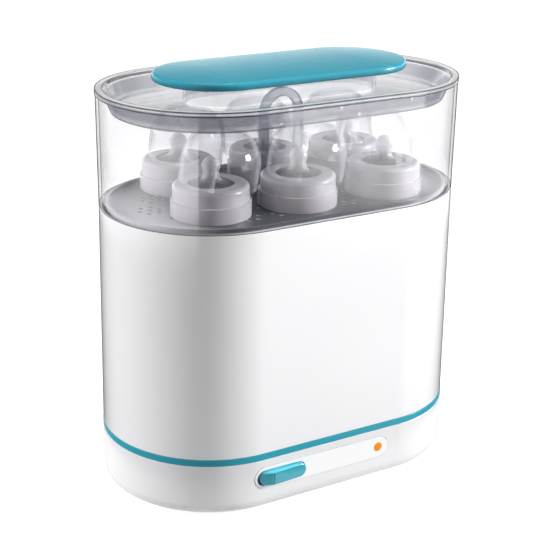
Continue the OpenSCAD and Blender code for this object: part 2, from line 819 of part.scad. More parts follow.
module skirt_rib() {
    translate([skirt_r - lid_wall, -rib_w / 2, rim_z - rib_h])
        cube([lid_wall + skirt_gap - fit_gap, rib_w, rib_h + overlap]);
}

module lid_shell() {
    color(clear) {
        difference() {
            oval_sweep(straight_len) polygon([
                [0, floor_z], [level_r, floor_z], [skirt_low_r, skirt_low_z], [skirt_r, rim_z],
                [flange_r, rim_z], [flange_r, lid_top],
                [skirt_r - skirt_shift + flange_t / skirt_pitch, lid_top],
                [corner_r, corner_z], [level_r, floor_z + lid_wall], [0, floor_z + lid_wall]]);
            translate([0, 0, skirt_low_z]) oval_plate(pedestal_run, pedestal_r - lid_wall, skirt_h);
        }
        difference() {
            translate([0, 0, floor_z]) oval_plate(pedestal_run, pedestal_r, handle_z - floor_z);
            translate([0, 0, floor_z - cut])
                oval_plate(pedestal_run, pedestal_r - lid_wall, handle_z - floor_z - lid_wall + cut);
            for (x = [-1, 1], y = [-1, 1]) translate([x * stake_x, y * stake_y, handle_z - 2 * lid_wall])
                cylinder(d = stake_d + 2 * tongue_gap, h = 3 * lid_wall);
        }
        for (side = [0, 180]) rotate([0, 0, side]) {
            for (x = [-1, 0, 1]) translate([x * straight_len / 2, 0, 0]) rotate([0, 0, 90]) skirt_rib();
            for (turn = [-45, 45])
                translate([straight_len / 2, 0, 0]) rotate([0, 0, turn]) skirt_rib();
        }
    }
}

module lid_handle() {
    edge_z = handle_z + handle_t;
    color(teal) {
        oval_sweep(handle_run) polygon(concat(
            [[0, handle_z], [pad_r, handle_z], [pad_r, handle_z + recess_h],
             [handle_r - lip_w, handle_z + recess_h], [handle_r - lip_w, handle_z],
             [handle_r - lip_w / 4, handle_z], [handle_r, handle_z + lip_w / 4]],
            arc([handle_r - handle_edge, edge_z - handle_edge], handle_edge, handle_edge, 0, 80),
            [for (s = [0.7, 0.35, 0]) [s * (handle_r - handle_edge), edge_z + crown * (1 - s * s)]]));
        for (x = [-1, 1], y = [-1, 1]) translate([x * stake_x, y * stake_y, handle_z - lid_wall])
            cylinder(d = stake_d, h = lid_wall + overlap);
    }
}

base_housing();
bottom_cover();
rubber_feet();
cover_screws();
accent_ring();
heater_plate();
heater_seal();
heating_element();
heater_clamp();
clamp_screws();
thermostat();
thermal_fuse();
control_panel();
power_lever();
lever_pin();
switch_block();
indicator_lens();
indicator_lamp();
terminal_block();
cord_gland();
large_basket();
bottle_grid();
small_basket();
basket_plate();
plate_handle();
lid_shell();
lid_handle();
for (i = top_numbers) {
    screw_ring(i);
    teat(i);
    dome_cap(i);
}
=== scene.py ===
# %% [markdown]
# # An oval bottle sterilizer
# The real appliance is a stack: a heated white base, a tall white basket, a clear basket with bottle tops
# on a plate, and a clear lid with a broad handle. The CAD model gives every place and size, so it is
# loaded first as a fixed frame. The pieces are given in millimetres, and the studio round them in metres.

# %% Load the frame
from math import asin, cos, pi, radians, sin
import bpy
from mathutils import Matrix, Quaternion, Vector


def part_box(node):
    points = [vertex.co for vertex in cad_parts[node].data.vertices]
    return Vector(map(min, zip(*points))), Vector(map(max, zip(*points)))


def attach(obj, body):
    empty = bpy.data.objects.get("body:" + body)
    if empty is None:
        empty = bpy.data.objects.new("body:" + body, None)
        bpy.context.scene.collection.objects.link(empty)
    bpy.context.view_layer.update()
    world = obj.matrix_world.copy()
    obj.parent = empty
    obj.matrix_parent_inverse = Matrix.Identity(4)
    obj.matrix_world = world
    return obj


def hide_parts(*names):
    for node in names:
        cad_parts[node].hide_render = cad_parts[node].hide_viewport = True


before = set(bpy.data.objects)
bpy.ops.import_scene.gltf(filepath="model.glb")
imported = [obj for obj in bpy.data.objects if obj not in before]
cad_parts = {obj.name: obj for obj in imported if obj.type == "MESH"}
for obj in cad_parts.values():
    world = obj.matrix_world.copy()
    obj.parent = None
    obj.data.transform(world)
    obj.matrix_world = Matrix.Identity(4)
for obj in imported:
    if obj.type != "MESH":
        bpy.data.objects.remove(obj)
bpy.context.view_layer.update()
MM = 0.001

# %% [markdown]
# ## Hand tools
# An operator acts on all that is selected, and the loaded frame arrives selected. So everything is
# deselected before a piece is started, and edges are picked in code, by a test, as a modeller picks them
# by eye.

# %% Select
def pick_none():
    if bpy.context.mode != "OBJECT":
        bpy.ops.object.mode_set(mode="OBJECT")
    bpy.ops.object.select_all(action="DESELECT")


def pick(piece):
    pick_none()
    piece.select_set(True)
    bpy.context.view_layer.objects.active = piece


def pick_edges(piece, test):
    """Selects the edges that pass a test, and stays in edit mode."""
    pick(piece)
    bpy.ops.object.mode_set(mode="EDIT")
    bpy.ops.mesh.select_mode(type="EDGE")
    bpy.ops.mesh.select_all(action="DESELECT")
    bpy.ops.object.mode_set(mode="OBJECT")
    for edge in piece.data.edges:
        edge.select = test(edge)
    bpy.ops.object.mode_set(mode="EDIT")


def named(name):
    piece = bpy.context.object
    piece.name = piece.data.name = name
    return piece


# %% [markdown]
# Nearly every piece here is a section carried round an oval or a circle. A section could be typed in as a
# mesh, but drawing it shows the work: one vertex is extruded from point to point. Arcs and bars spare
# most of the points.

# %% Draw a section
def arc(x, z, r, start, stop, steps=8):
    turns = [radians(start + (stop - start) * i / steps) for i in range(steps + 1)]
    return [(x + r * cos(t), z + r * sin(t)) for t in turns]


def bar(inner, outer, low, high):
    """A closed rectangular section."""
    return [(inner, low), (outer, low), (outer, high), (inner, high), (inner, low)]


def draw_section(name, points, x=0.0):
    """A section of (radius, height) points, on the front side."""
    pick_none()
    bpy.ops.mesh.primitive_plane_add(size=MM)
    piece = named(name)
    bpy.ops.object.mode_set(mode="EDIT")
    bpy.ops.mesh.select_mode(type="VERT")
    bpy.ops.mesh.merge(type="CENTER")
    spots = [Vector((x, -r, z)) * MM for r, z in points]
    bpy.ops.transform.translate(value=spots[0])
    for here, there in zip(spots, spots[1:]):
        bpy.ops.mesh.extrude_region_move(TRANSFORM_OT_translate={"value": there - here})
    bpy.ops.mesh.select_all(action="SELECT")
    return piece


# %% [markdown]
# Spin carries a section round each end of an oval, and extrude carries it along each side. A Screw
# modifier could turn only the round pieces, so spin serves for both. Where the last face meets the first
# one, doubles are merged before the faces are turned outwards.

# %% Carry it round
def weld():
    """Merges the doubles of the piece in edit mode, turns its faces outwards and leaves edit mode."""
    bpy.ops.mesh.select_all(action="SELECT")
    bpy.ops.mesh.remove_doubles(threshold=0.005 * MM)
    bpy.ops.mesh.normals_make_consistent(inside=False)
    pick_none()


def sweep_oval(name, points, run, steps=48):
    """Carries a section round an oval whose straight sides have length run."""
    piece = draw_section(name, points, run / 2)
    for side in (1, -1):
        bpy.ops.mesh.spin(steps=steps, angle=pi, center=(side * run / 2 * MM, 0, 0), axis=(0, 0, -1))
        bpy.ops.mesh.extrude_region_move(TRANSFORM_OT_translate={"value": (-side * run * MM, 0, 0)})
    weld()
    return piece


def turn_round(name, points, steps=64):
    """Carries a section round the upright axis."""
    piece = draw_section(name, points)
    bpy.ops.mesh.spin(steps=steps, angle=2 * pi, center=(0, 0, 0), axis=(0, 0, -1))
    weld()
    return piece


# %% [markdown]
# A mould leaves no edge sharp. A Bevel modifier rounds every edge past an angle, and Weighted Normal
# keeps the broad faces true. Holes and pockets are cut with tools by a Boolean, and what only touches is
# joined as a shell of its own.

# %% Round and cut
def apply_modifier(piece, kind, **settings):
    pick(piece)
    bpy.ops.object.modifier_add(type=kind)
    modifier = piece.modifiers[-1]
    for key, value in settings.items():
        setattr(modifier, key, value)
    bpy.ops.object.modifier_apply(modifier=modifier.name)


def round_edges(piece, width, segments=3, angle=35):
    pick(piece)
    bpy.ops.object.shade_smooth()
    apply_modifier(piece, "BEVEL", width=width * MM, segments=segments, limit_method="ANGLE",
                   angle_limit=radians(angle))
    apply_modifier(piece, "WEIGHTED_NORMAL", keep_sharp=True)


def cut(piece, tool, how="DIFFERENCE"):
    apply_modifier(piece, "BOOLEAN", operation=how, object=tool, solver="EXACT")
    bpy.data.objects.remove(tool)


def join(piece, others):
    pick(piece)
    for other in others:
        other.select_set(True)
    bpy.ops.object.join()


# %% [markdown]
# Three stock shapes serve as tools and as blanks: a block, a round bar and a pill. The pill is a block on
# the front whose four edges that run from front to back are bevelled until its ends are half circles.

# %% Stock shapes
PANEL_Z = 30.5


def block(name, size, place, turn=0.0):
    """A block turned about the upright axis."""
    pick_none()
    bpy.ops.mesh.primitive_cube_add(size=1)
    piece = named(name)
    piece.scale = Vector(size) * MM
    piece.rotation_euler.z = radians(turn)
    piece.location = Vector(place) * MM
    bpy.ops.object.transform_apply()
    return piece


def front_pill(name, length, height, x, near, far):
    pick_none()
    bpy.ops.mesh.primitive_cube_add(size=1)
    piece = named(name)
    bpy.ops.object.mode_set(mode="EDIT")
    bpy.ops.transform.resize(value=(length * MM, (far - near) * MM, height * MM))
    bpy.ops.transform.translate(value=(x * MM, -(near + far) / 2 * MM, PANEL_Z * MM))

    def runs_back(edge):
        one, other = [piece.data.vertices[i].co for i in edge.vertices]
        return abs(one.y - other.y) > MM

    pick_edges(piece, runs_back)
    bpy.ops.mesh.bevel(offset=height / 2 * MM, segments=16, affect="EDGES")
    weld()
    return piece


def rod(name, radius, low, high, x=0.0, y=0.0, lie=0):
    """A round bar, upright or lying towards the front (1) or the back (-1); y is its height when it lies."""
    pick_none()
    bpy.ops.mesh.primitive_cylinder_add(vertices=96, radius=radius * MM, depth=(high - low) * MM)
    piece = named(name)
    bpy.ops.object.mode_set(mode="EDIT")
    bpy.ops.transform.translate(value=(0, 0, (low + high) / 2 * MM))
    bpy.ops.object.mode_set(mode="OBJECT")
    piece.rotation_euler.x = radians(90 * lie)
    piece.location = Vector((x, 0, y) if lie else (x, y, 0)) * MM
    bpy.ops.object.transform_apply()
    return piece


# %% [markdown]
# What repeats is modelled once and copied, each copy with its own mesh, which is moved in edit mode so
# that the object stays at the origin. A finished piece rides on a body of the frame and stands in for its
# CAD node.

# %% Copy and fit
def copy_of(piece, name, place):
    pick(piece)
    bpy.ops.object.duplicate(linked=False)
    made = named(name)
    bpy.ops.object.mode_set(mode="EDIT")
    bpy.ops.mesh.select_all(action="SELECT")
    bpy.ops.transform.translate(value=Vector(place) * MM)
    pick_none()
    return made


def fit(piece, node, body, finish):
    piece.data.materials.clear()
    piece.data.materials.append(finish)
    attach(piece, body)
    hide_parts(node)
    print(piece.name, len(piece.data.polygons), "faces")


# %% [markdown]
# ## Finishes
# All finishes are procedural and read Object coordinates, so they stay put when a piece moves. A small
# class lets shader sums be written as plain Python: each operator adds Math nodes. Any other node comes
# from one method.

# %% Shader sums
class Wire:
    def __init__(self, tree, socket=None):
        self.tree, self.socket = tree, socket

    def add(self, kind, settings=None, inputs=None, out=0):
        """A new node with its settings and its inputs, as the wire of one of its outputs."""
        node = self.tree.nodes.new(kind)
        for key, value in (settings or {}).items():
            setattr(node, key, value)
        for key, value in (inputs or {}).items():
            if isinstance(value, Wire):
                self.tree.links.new(value.socket, node.inputs[key])
            else:
                node.inputs[key].default_value = value
        return Wire(self.tree, node.outputs[out] if len(node.outputs) else None)

    def sum(self, operation, *values):
        return self.add("ShaderNodeMath", {"operation": operation}, dict(enumerate((self, *values))))

    def __add__(self, other):
        return self.sum("ADD", other)

    def __sub__(self, other):
        return self.sum("SUBTRACT", other)

    def __rsub__(self, other):
        return self.sum("MULTIPLY", -1.0) + other

    def __mul__(self, other):
        return self.sum("MULTIPLY", other)

    def __pow__(self, other):
        return self.sum("POWER", other)

    __radd__ = __add__
    __rmul__ = __mul__

    def at_most(self, other):
        return self.sum("MINIMUM", other)

    def at_least(self, other):
        return self.sum("MAXIMUM", other)

    def between(self, low, high):
        """0 below low, 1 above high, smooth between them."""
        return self.add("ShaderNodeMapRange", {"interpolation_type": "SMOOTHSTEP"},
                        {"Value": self, "From Min": low, "From Max": high})

    def mix(self, one, other):
        """A colour between two, this wire being the share of the second."""
        return self.add("ShaderNodeMix", {"data_type": "RGBA"}, {0: self, 6: one, 7: other}, 2)

    def blend(self, one, other):
        """A shader between two, this wire being the share of the second."""
        return self.add("ShaderNodeMixShader", None, {0: self, 1: one, 2: other})


# %% [markdown]
# Every finish starts in the same way, from an empty tree and the Object coordinates. Noise and bump are
# used by most of them, so each has a short function.

# %% Start of a finish
def new_finish(name):
    finish = bpy.data.materials.new(name)
    finish.use_nodes = True
    finish.node_tree.nodes.clear()
    start = Wire(finish.node_tree)
    return finish, start, start.add("ShaderNodeTexCoord", out="Object")


def set_surface(start, shader):
    start.add("ShaderNodeOutputMaterial", None, {"Surface": shader})


def axes(place, letters):
    return [place.add("ShaderNodeSeparateXYZ", None, {0: place}, letter) for letter in letters]


def noise(place, scale, detail=2.0):
    return place.add("ShaderNodeTexNoise", None, {"Vector": place, "Scale": scale, "Detail": detail})


def bump(height, strength, distance=0.0001):
    return height.add("ShaderNodeBump", None, {"Height": height, "Strength": strength, "Distance": distance})


# %% [markdown]
# The opaque plastics are moulded and glossy. One flat colour would look dead. What keeps them alive is
# small: the shade drifts over a hand's breadth, the gloss is not even, and a fine orange-peel bump breaks
# the reflections. The handle and the lever also have painted shade: their colour is darker lower down,
# which leaves a painted highlight along their upper edges.

# %% Moulded plastics
def moulded(name, light, dark, gloss, coat, grain=900.0, shade=None):
    """A plastic whose colour drifts between two, with painted shade downwards between the two heights of
    shade.
    """
    finish, start, place = new_finish(name)
    drift = noise(place, 9.0)
    peel = noise(place, grain, 3.0)
    colour = drift.mix((*dark, 1), (*light, 1))
    if shade:
        low, high = shade
        rise = axes(place, "Z")[0].between(low * MM, high * MM)
        colour = rise.mix((*[0.55 * c for c in dark], 1), colour)
    shader = start.add("ShaderNodeBsdfPrincipled", None, {
        "Base Color": colour,
        "Roughness": gloss + 0.06 * drift,
        "Coat Weight": coat,
        "Coat Roughness": 0.05,
        "Normal": bump(peel, 0.08),
    })
    set_surface(start, shader)
    return finish


white_shell = moulded("white_shell", (0.90, 0.90, 0.91), (0.87, 0.87, 0.885), 0.16, 1.0)
white_base = moulded("white_base", (0.86, 0.86, 0.87), (0.83, 0.83, 0.845), 0.20, 1.0)
white_panel = moulded("white_panel", (0.95, 0.95, 0.955), (0.93, 0.93, 0.94), 0.22, 0.2)
teal_trim = moulded("teal_trim", (0.028, 0.36, 0.46), (0.022, 0.32, 0.42), 0.26, 0.5)
# Painted shade: the handle's colour darkens below its rounded upper edge.
teal_handle = moulded("teal_handle", (0.016, 0.345, 0.465), (0.013, 0.315, 0.43), 0.24, 0.0,
                      shade=(330.0, 335.4))
# Painted highlight: the lever's top edge stays light above a face in painted shade.
teal_lever = moulded("teal_lever", (0.14, 0.70, 0.86), (0.08, 0.67, 0.84), 0.22, 0.6, shade=(35.0, 35.6))
lilac_ring = moulded("lilac_ring", (0.52, 0.50, 0.535), (0.48, 0.46, 0.495), 0.24, 0.15)
dark_case = moulded("dark_case", (0.03, 0.03, 0.033), (0.02, 0.02, 0.022), 0.45, 0.0)
pale_ceramic = moulded("pale_ceramic", (0.80, 0.78, 0.73), (0.72, 0.70, 0.65), 0.5, 0.0, 400.0)
black_rubber = moulded("black_rubber", (0.024, 0.024, 0.026), (0.016, 0.016, 0.018), 0.62, 0.0, 500.0)
print("moulded plastics done")

# %% [markdown]
# The plate is grey, and painted light makes it pale in its holes and towards its ends, close to the white
# wall. A lamp under it would do the same but would light all else, so the place on the plate sets the
# colour.

# %% Grey plate
PLATE_TOP = 232.9


def pale_ended(name, middle, ends):
    finish, start, place = new_finish(name)
    along, height = axes(place, "XZ")
    drift = noise(place, 9.0)
    # Painted light: the hole walls and the ends near the white wall are made pale.
    holes = 1 - height.between((PLATE_TOP - 0.5) * MM, (PLATE_TOP - 0.1) * MM)
    near_ends = along.between(60 * MM, 125 * MM) + (along * -1).between(85 * MM, 138 * MM)
    pale = (near_ends * (0.9 + 0.2 * drift) + holes).at_most(1.0)
    shader = start.add("ShaderNodeBsdfPrincipled", None, {
        "Base Color": pale.mix((*middle, 1), (*ends, 1)),
        "Roughness": 0.30 + 0.06 * drift,
        "Normal": bump(noise(place, 900.0, 3.0), 0.08),
    })
    set_surface(start, shader)
    return finish


grey_plate = pale_ended("grey_plate", (0.115, 0.12, 0.132), (0.80, 0.80, 0.83))
print("plate finish done")

# %% [markdown]
# Clear plastic shows by what it mirrors. A glass shader would bend the light in every thin wall and hide
# what is inside. Here each wall is thin, so light goes straight through it, and a reflection lies over
# that: weak where the wall faces the eye and full where it turns away, by a fifth power. Layer Weight
# gives how far it turns away. A share of plain plastic stands for haze and for moulded edges.

# %% Clear plastics
def turned_away(start):
    return start.add("ShaderNodeLayerWeight", None, {"Blend": 0.5}, "Facing")


def clear_shader(start, tint, edge, haze, mirror=0.0, shine=1.0, most=1.0):
    """Light that goes through, a reflection over it of at most the share most, and haze over both."""
    sheen = (turned_away(start) ** 5 * 0.96 + 0.04 + mirror).at_most(most)
    through = start.add("ShaderNodeBsdfTransparent", None, {"Color": (*tint, 1)})
    gloss = start.add("ShaderNodeBsdfGlossy", None, {"Color": (shine, shine, shine, 1), "Roughness": 0.03})
    body = start.add("ShaderNodeBsdfPrincipled", None, {"Base Color": edge, "Roughness": 0.2})
    return haze.blend(sheen.blend(through, gloss), body)


def clear(name, tint, edge, haze, power, shine=1.0, low=0.0, high=1000.0, most=1.0):
    """A clear plastic with hazy edges, which is clearest below the height low and above the height high."""
    finish, start, place = new_finish(name)
    drift = noise(place, 14.0)
    colour = drift.mix((*[0.94 * c for c in edge], 1), (*edge, 1))
    height = axes(place, "Z")[0]
    rise = height.between(low * MM, (low + 4) * MM) * 0.8 + 0.2
    fall = 1 - 0.8 * height.between((high - 5) * MM, high * MM)
    haze = (turned_away(start) ** power * 0.9 + haze) * rise * fall
    set_surface(start, clear_shader(start, tint, colour, haze, 0.0, shine, most * fall))
    return finish


CLEAR = (0.985, 0.985, 0.99)
clear_cap = clear("clear_cap", CLEAR, (0.70, 0.69, 0.74), 0.02, 6.5, high=297, most=0.15)
clear_arch = clear("clear_arch", (0.90, 0.91, 0.93), (0.30, 0.31, 0.35), 0.28, 2.0, shine=0.5)
soft_teat = clear("soft_teat", (0.93, 0.93, 0.94), (0.95, 0.94, 0.97), 0.15, 2.2, shine=0.35, low=258)
print("clear caps, arch and teats done")

# %% [markdown]
# The wall and the lid have moulded edges that turn the light. They could be modelled as thick glass, at
# the cost of noise. Bands of distance from the oval's middle line and of height say instead where they
# are. The wall has a dark line at its seam.

# %% Clear wall
RUN = 128.4
SEAM_Z = 232.5


def oval_distance(place, run):
    """Distance from the middle line of an oval, and height."""
    x, y, z = axes(place, "XYZ")
    end = (x.sum("ABSOLUTE") - run / 2 * MM).at_least(0.0)
    return (end * end + y * y).sum("SQRT") * 1000, z * 1000


def clear_wall_finish(name):
    finish, start, place = new_finish(name)
    distance, height = oval_distance(place, RUN)
    seam = distance.between(85.9, 86.2) * (1 - height.between(SEAM_Z + 0.5, SEAM_Z + 1.0))
    colour = noise(place, 14.0).mix((0.07, 0.072, 0.08, 1), (0.09, 0.092, 0.10, 1))
    set_surface(start, clear_shader(start, CLEAR, colour, 0.85 * seam))
    return finish


clear_wall = clear_wall_finish("clear_wall")
print("clear wall done")

# %% [markdown]
# The lid has painted shade: dark lines along the edges of its flange and at the foot of its skirt, with a
# pale top between them. Its skirt mirrors more than the rest, because its steep faces send the eye down to
# the table in front or up to the back, and the pedestal is a little hazy.

# %% Clear lid
RIM_Z, LID_TOP = 320.0, 323.7
DISH_Z, SKIRT_Z = 312.8, 306.0
SKIRT_R, FLANGE_R, POST_R = 75.5, 82.0, 27.5


def clear_lid_finish(name):
    finish, start, place = new_finish(name)
    distance, height = oval_distance(place, RUN)
    flange = distance.between(FLANGE_R, FLANGE_R + 0.4) * height.between(RIM_Z - 0.4, RIM_Z)
    top = flange * height.between(LID_TOP - 0.7, LID_TOP - 0.3)
    outer_line = distance.between(86.2, 86.6) * height.between(LID_TOP - 1.2, LID_TOP - 0.8)
    lower_line = flange * (1 - height.between(RIM_Z + 0.8, RIM_Z + 1.2))
    inner_line = (height.between(LID_TOP - 0.5, LID_TOP - 0.2) * distance.between(80.6, 80.9)
                  * (1 - distance.between(FLANGE_R, FLANGE_R + 0.3)))
    lines = (outer_line + lower_line + inner_line).at_most(1.0)
    skirt = distance.between(SKIRT_R - 0.9, SKIRT_R - 0.1) * (1 - height.between(RIM_Z - 0.8, RIM_Z - 0.2))
    foot = skirt * (1 - height.between(SKIRT_Z + 0.4, SKIRT_Z + 2.6))
    post = (1 - distance.between(POST_R + 0.5, POST_R + 0.9)) * height.between(DISH_Z + 0.4, DISH_Z + 0.8)
    pale = noise(place, 14.0).mix((0.88, 0.88, 0.92, 1), (0.92, 0.92, 0.95, 1))
    colour = (skirt + post).mix(pale, (0.36, 0.385, 0.47, 1))
    # Painted shade: dark lines along the flange's edges and at the foot of the skirt.
    colour = (lines + foot).at_most(1.0).mix(colour, (0.045, 0.050, 0.070, 1))
    haze = 0.25 * flange + 0.3 * top + 0.5 * lines + 0.3 * skirt + 0.3 * foot + 0.14 * post
    haze = haze.at_most(0.85) + 0.02
    set_surface(start, clear_shader(start, CLEAR, colour, haze, 0.20 * skirt))
    return finish


clear_lid = clear_lid_finish("clear_lid")
print("clear lid done")

# %% [markdown]
# The metals sit inside the base and under the cover. Brushing could be cut as scratches, but a noise
# stretched along one direction is enough: it moves both the roughness and a shallow bump. The lens of the
# lamp glows a little, with fine cells in its colour.

# %% Metals and the lamp
def brushed(name, colour, rough):
    finish, start, place = new_finish(name)
    stretched = place.add("ShaderNodeMapping", None, {"Vector": place, "Scale": (30, 900, 900)})
    lines = noise(stretched, 1.0, 4.0)
    shader = start.add("ShaderNodeBsdfPrincipled", None, {
        "Base Color": lines.mix((*[0.85 * c for c in colour], 1), (*colour, 1)),
        "Metallic": 1.0,
        "Roughness": rough + 0.15 * lines,
        "Normal": bump(lines, 0.1),
    })
    set_surface(start, shader)
    return finish


def lit_lens(name, colour, glow):
    finish, start, place = new_finish(name)
    cells = noise(place, 700.0)
    shader = start.add("ShaderNodeBsdfPrincipled", None, {
        "Base Color": cells.mix((*[0.9 * c for c in colour], 1), (*colour, 1)),
        "Roughness": 0.25,
        "Specular IOR Level": 0.2,
        "Emission Color": (*colour, 1),
        "Emission Strength": glow,
    })
    set_surface(start, shader)
    return finish


steel = brushed("steel", (0.62, 0.62, 0.64), 0.25)
amber_lens = lit_lens("amber_lens", (0.84, 0.28, 0.0), 0.12)
lamp_glass = lit_lens("lamp_glass", (0.9, 0.55, 0.2), 0.1)
print("metals and lamp done")

# %% [markdown]
# ## Base
# The housing is one white moulding: a rounded outer wall, a deck, and a water well in the middle. It
# could be a block that is hollowed out, but its wall is even, so its section is carried round the oval.
# The well's round hole, the pocket of the panel, the slot of the lever and the holes of the lens and the
# gland are then cut, as a mould's cores leave them.

# %% Base housing
BODY_R, BASE_WALL, DECK_Z = 88.0, 2.8, 46.1
WELL_R, WELL_Z = 70.0, 28.5
FOOT_R, FOOT_Z = 12.0, 13.5
HEATER_R = 56

under_well = [(0, WELL_Z - BASE_WALL), (WELL_R + BASE_WALL, WELL_Z - BASE_WALL)]
under_deck = [(WELL_R + BASE_WALL, DECK_Z - BASE_WALL), (BODY_R - BASE_WALL, DECK_Z - BASE_WALL)]
foot = (arc(BODY_R - FOOT_R, FOOT_Z, FOOT_R - BASE_WALL, 0, -90)
        + arc(BODY_R - FOOT_R, FOOT_Z, FOOT_R, -90, 0, 12))
deck_and_well = [(BODY_R, DECK_Z), (WELL_R, DECK_Z), (WELL_R, WELL_Z), (0, WELL_Z)]
housing = sweep_oval("housing", under_well + under_deck + foot + deck_and_well, RUN)
round_edges(housing, 0.5)
cut(housing, rod("heater_hole", HEATER_R, 20, 35))
print("housing:", len(housing.data.polygons), "faces before its walls are cut")

# %% [markdown]
# The panel's pocket follows the wall. A tool with a flat end would run out of the wall at the left, where
# the wall turns, so a ring of the pocket's depth is cut to the outline of a pill. The pill is a little
# larger than the panel, which leaves a thin gap all round it.

# %% Cuts in the walls
DEEP, PROUD = 80, 92
PANEL_L, PANEL_H, PANEL_GAP = 126, 18.5, 0.9
PANEL_BACK, PANEL_FRONT = 86.3, 88.3
PANEL_LOW, PANEL_HIGH = 15, 45
PANEL_EDGE = dict(x=-9.1, near=84, far=PROUD)
SLOT = dict(length=44.1, height=13.4, x=-47.95, near=82, far=PROUD)
LENS_X, LENS_R = 44.3, 3.9
GLAND_X, GLAND_Z, GLAND_R = 52, 22, 5.9

pocket = sweep_oval("pocket", bar(PANEL_BACK, 90, PANEL_LOW, PANEL_HIGH), RUN)
pocket_edge = front_pill("pocket_edge", PANEL_L + PANEL_GAP, PANEL_H + PANEL_GAP, **PANEL_EDGE)
cut(pocket, pocket_edge, "INTERSECT")
cut(housing, pocket)
cut(housing, front_pill("slot", **SLOT))
cut(housing, rod("lens_hole", LENS_R + 0.1, DEEP, PROUD, LENS_X, PANEL_Z, lie=1))
cut(housing, rod("gland_hole", GLAND_R, DEEP, PROUD, GLAND_X, GLAND_Z, lie=-1))
print("housing:", len(housing.data.polygons), "faces with its holes")

# %% [markdown]
# The screws of the cover and of the heater's clamp bite into round bosses inside the base. They could be
# merged with the housing by Booleans, but no edge between them shows, so they are joined as shells of
# their own.

# %% Screw bosses
BOSS_R, BOSS_TOP = 4.2, 26.0
COVER_BOSS_Z, CLAMP_BOSS_Z = 4.3, 15.5
COVER_BOSSES = [(-129, 0), (129, 0)] + [(x, y) for x in (-RUN / 2, RUN / 2) for y in (-64.8, 64.8)]
bosses = [rod("boss", BOSS_R, COVER_BOSS_Z, BOSS_TOP, x, y) for x, y in COVER_BOSSES]
bosses += [rod("boss", BOSS_R, CLAMP_BOSS_Z, BOSS_TOP, x) for x in (-68, 68)]
join(housing, bosses)
fit(housing, "base_housing", "base", white_base)

# %% [markdown]
# The accent ring is a plain teal band on the deck. It could be painted on the wall, but it is a piece of
# its own, so it is one, with softened edges that leave the thin dark line under the basket.

# %% Accent ring
BAND_IN, BAND_TOP = 84.9, 51.7
band = sweep_oval("band", bar(BAND_IN, BODY_R, DECK_Z, BAND_TOP), RUN)
round_edges(band, 0.5)
fit(band, "accent_ring", "base", teal_trim)

# %% [markdown]
# The control panel is a skin that follows the wall. A flat plate would stand off at its left end, where
# the wall turns. So a ring of the panel's thickness is cut to the outline of a long pill, and the slot
# and the lens hole are cut through it.

# %% Control panel
panel = sweep_oval("panel", bar(PANEL_BACK, PANEL_FRONT, PANEL_LOW, PANEL_HIGH), RUN)
cut(panel, front_pill("panel_edge", PANEL_L, PANEL_H, **PANEL_EDGE), "INTERSECT")
cut(panel, front_pill("slot", **SLOT))
cut(panel, rod("lens_hole", LENS_R + 0.05, DEEP, PROUD, LENS_X, PANEL_Z, lie=1))
round_edges(panel, 0.2, segments=2, angle=50)
fit(panel, "control_panel", "base", white_panel)

# %% [markdown]
# The power lever rocks about a pin. Its top view could be extruded upwards, but then its round ends would
# be hard to make. So it is a pill that two bisecting planes cut to a crease near its left end: a short
# facet falls away to the left and a long one to the right. Its edges are round, and a shallow groove is cut
# beside the crease. The bright line along its top is a painted highlight in its finish.

# %% Power lever
CREASE_X, CREASE_Y = -58.1, -93
FACETS = [(-3.6, -10.3, 0), (1.8, -31.3, 0)]

lever = front_pill("lever", length=41.6, height=11.6, x=-47.6, near=83.2, far=94)
for normal in FACETS:
    pick(lever)
    bpy.ops.object.mode_set(mode="EDIT")
    bpy.ops.mesh.select_all(action="SELECT")
    bpy.ops.mesh.bisect(plane_co=Vector((CREASE_X, CREASE_Y, 0)) * MM, plane_no=Vector(normal).normalized(),
                        use_fill=True, clear_outer=True)
    weld()
round_edges(lever, 0.9, segments=3, angle=20)
groove = block("groove", (0.7, 2.0, 9.0), (CREASE_X + 0.9, CREASE_Y + 0.1, PANEL_Z - 0.6))
cut(lever, groove)
fit(lever, "power_lever", "lever", teal_lever)

# %% [markdown]
# The lamp's lens is a round plug with a flange behind the wall and a slightly domed face. It could be a
# cylinder with a bevel, but its section is quickly drawn: it is turned upright like the other round
# pieces and laid to the front.

# %% Lamp lens
lens_flange = [(0, 84), (5, 84), (5, 85.2), (LENS_R, 85.2)]
lens_face = [(LENS_R, 88.0), (2.8, 88.25), (0, 88.3)]
lens = turn_round("lens", lens_flange + lens_face, steps=48)
pick(lens)
lens.rotation_euler.x = radians(90)
lens.location = Vector((LENS_X, 0, PANEL_Z)) * MM
bpy.ops.object.transform_apply()
round_edges(lens, 0.15, segments=2, angle=30)
fit(lens, "indicator_lens", "base", amber_lens)

# %% [markdown]
# ## Baskets
# The large basket is a tall white wall with a spigot and a ledge at its foot. The small basket has the
# same build in clear plastic. Each could be a solid that is hollowed out. One function gives both
# sections instead, from the radii of the spigot, the foot and the top, and carries them round the oval.

# %% Large and small basket
BASKET_WALL, SPIGOT, LEDGE = 2.4, 4, 6.4


def basket(name, spigot_r, low_r, top_r, low_z, top_z, soft):
    ledge_r, throat_r = spigot_r - LEDGE, spigot_r - BASKET_WALL
    spigot = [(ledge_r, low_z - SPIGOT), (spigot_r, low_z - SPIGOT), (spigot_r, low_z)]
    outside = [(low_r, low_z), (top_r, top_z), (top_r - BASKET_WALL, top_z)]
    inside = [(low_r - BASKET_WALL, low_z + 2 * BASKET_WALL), (throat_r, low_z + BASKET_WALL)]
    ledge = [(throat_r, low_z - SPIGOT / 2), (ledge_r, low_z - SPIGOT / 2), (ledge_r, low_z - SPIGOT)]
    piece = sweep_oval(name, spigot + outside + inside + ledge, RUN)
    round_edges(piece, soft)
    return piece


